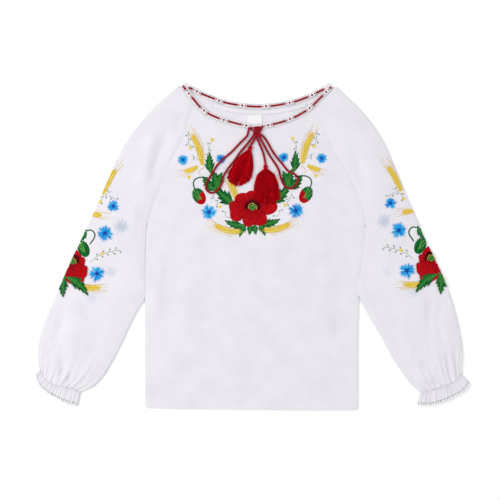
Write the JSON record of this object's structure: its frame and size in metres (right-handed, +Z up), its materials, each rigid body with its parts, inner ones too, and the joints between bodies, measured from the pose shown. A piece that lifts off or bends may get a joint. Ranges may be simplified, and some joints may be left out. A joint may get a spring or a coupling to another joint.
{
  "type": "vyshyvanka blouse laid flat",
  "caption": "Child's white cotton vyshyvanka blouse laid flat, raglan sleeves, frilled cuffs, laced neck drawstring with a tied bow and tassels.",
  "frame": {"origin": "on the surface that the blouse lies on, at the centre of its width and height", "axes": "+X to the right of the laid blouse from cuff to cuff, +Y from the hem towards the neck, +Z up from the surface through the layers"},
  "size_m": [0.7194, 0.5437, 0.0101],
  "materials": {
    "cotton": "lavender-white plain-weave cotton, matte, embroidered in red, blue, green and yellow",
    "lace": "white beading lace of matte cotton thread",
    "label": "bare woven label, slight sheen",
    "cord": "dark red twisted cord, slight sheen",
    "tassel": "dark red tassel threads, slight sheen"
  },
  "bodies": {
    "root": {"back_panel": "cotton", "front_panel": "cotton", "sleeve_left": "cotton", "sleeve_right": "cotton", "cuff_frill_left": "cotton", "cuff_frill_right": "cotton", "neck_facing": "cotton", "cuff_lace_left": "lace", "cuff_lace_right": "lace", "neck_lace_front": "lace", "neck_lace_back": "lace", "neck_label": "label", "cord_neck_front_left": "cord", "cord_neck_front_right": "cord", "cord_neck_back": "cord", "cord_loop_left": "cord", "cord_tail_left": "cord", "cord_exit_right": "cord", "cord_loop_right": "cord", "cord_tail_right": "cord", "bow_knot": "cord", "tassel_left": "tassel", "tassel_right": "tassel"}
  },
  "joints": []
}
